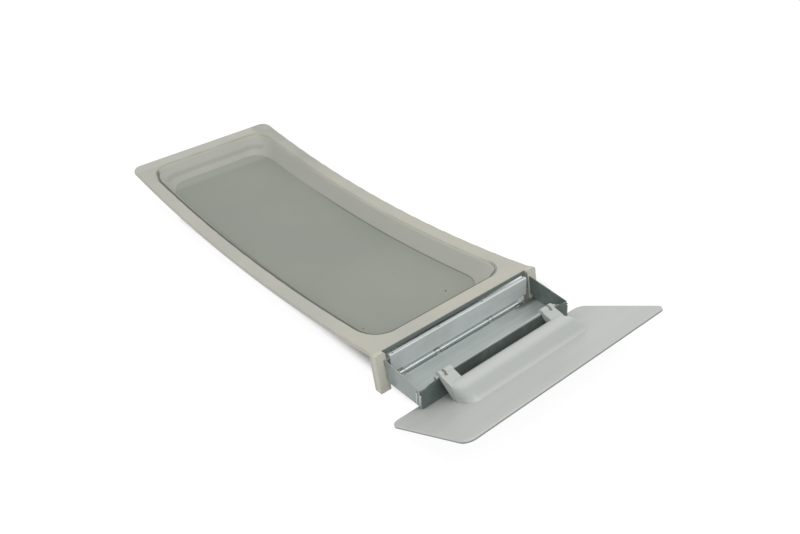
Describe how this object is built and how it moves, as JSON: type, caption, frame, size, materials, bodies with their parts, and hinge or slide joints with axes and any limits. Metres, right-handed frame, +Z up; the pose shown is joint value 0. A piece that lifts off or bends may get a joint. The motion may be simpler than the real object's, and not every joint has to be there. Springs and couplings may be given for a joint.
{
  "type": "dryer lint filter",
  "caption": "Long curved mesh lint screen in a pale plastic frame, with a folded steel tray, a hinged steel flap and a hinged plastic lid with a finger grip.",
  "frame": {"origin": "below the middle of the whole filter's box, on the surface it lies on", "axes": "+X across the filter, +Y from the lid towards the far end of the screen, +Z up"},
  "size_m": [0.2064, 0.5434, 0.0454],
  "materials": {
    "frame_plastic": "satin, yellowed and stained",
    "mesh": "fine woven mesh, matte",
    "zinc_steel": "zinc coated sheet, worn",
    "wire_steel": "drawn wire",
    "lid_plastic": "satin"
  },
  "bodies": {
    "frame_and_tray": {"screen_frame": "frame_plastic", "mesh_screen": "mesh", "steel_tray": "zinc_steel", "hinge_rod": "wire_steel"},
    "flap": {"flap": "zinc_steel"},
    "lid": {"lid": "lid_plastic"}
  },
  "joints": [
    {"name": "flap_hinge", "type": "hinge", "parent": "frame_and_tray", "child": "flap", "pos_m": [0, -0.15897, 0.00885], "axis": [1, 0, 0], "range_deg": [0, 88]},
    {"name": "lid_hinge", "type": "hinge", "parent": "frame_and_tray", "child": "lid", "pos_m": [0, -0.19642, 0.02593], "axis": [-1, 0, 0], "range_deg": [0, 70]}
  ]
}
